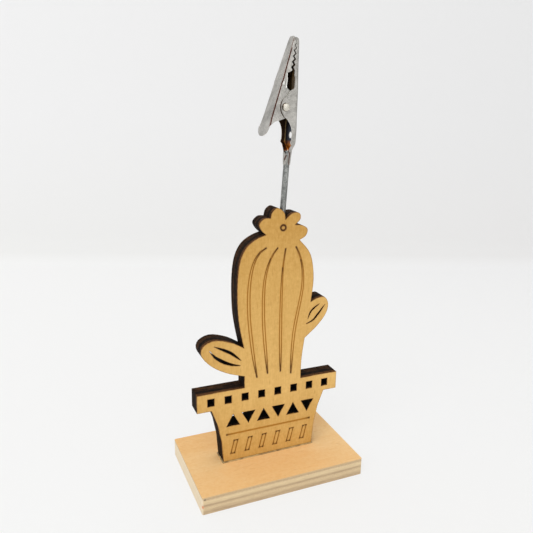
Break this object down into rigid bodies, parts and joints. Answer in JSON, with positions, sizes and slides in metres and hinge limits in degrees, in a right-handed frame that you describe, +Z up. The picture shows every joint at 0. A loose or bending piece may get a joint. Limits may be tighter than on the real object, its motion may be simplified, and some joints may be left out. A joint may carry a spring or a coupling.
{
  "type": "photo clip holder",
  "caption": "Laser-cut plywood cactus in a pot, glued upright on a rectangular plywood base, with a toothed spring clip on a wire stem at its top.",
  "frame": {"origin": "middle of the base's underside, on the surface that the holder stands on", "axes": "+X to the right along the base's long side seen from the front, +Y to the back, +Z up"},
  "size_m": [0.06, 0.037, 0.1496],
  "materials": {
    "ply_face": "sanded birch face veneer, unvarnished, with laser-engraved lines",
    "ply_cross": "grey-brown end grain of the cross plies, charred where the laser cut it",
    "ply_core": "pale core ply, charred where the laser cut it",
    "ply_back": "pale back ply, charred where the laser cut it",
    "glue": "dried clear wood glue",
    "wire_steel": "dull grey drawn steel",
    "clip_steel": "nickel-plated stamped steel, satin",
    "spring_steel": "dark drawn spring steel"
  },
  "bodies": {
    "holder": {"base_face_veneer": "ply_face", "base_upper_cross_ply": "ply_cross", "base_core_ply": "ply_core", "base_lower_cross_ply": "ply_cross", "base_back_ply": "ply_back", "foot_glue": "glue", "cactus_face_veneer": "ply_face", "cactus_upper_cross_ply": "ply_cross", "cactus_core_ply": "ply_core", "cactus_lower_cross_ply": "ply_cross", "cactus_back_ply": "ply_back", "stem_wire": "wire_steel", "stem_glue": "glue", "fixed_jaw": "clip_steel", "pivot_rivet": "clip_steel", "torsion_spring": "spring_steel"},
    "lever": {"lever_jaw": "clip_steel"}
  },
  "joints": [
    {"name": "clip_pinch", "type": "hinge", "parent": "holder", "child": "lever", "pos_m": [0.00347, 0.00057, 0.12839], "axis": [0, -1, 0], "range_deg": [0, 38], "stiffness_Nm_per_rad": 0.03, "springref_deg": -68.75, "deforming": ["torsion_spring"]}
  ]
}
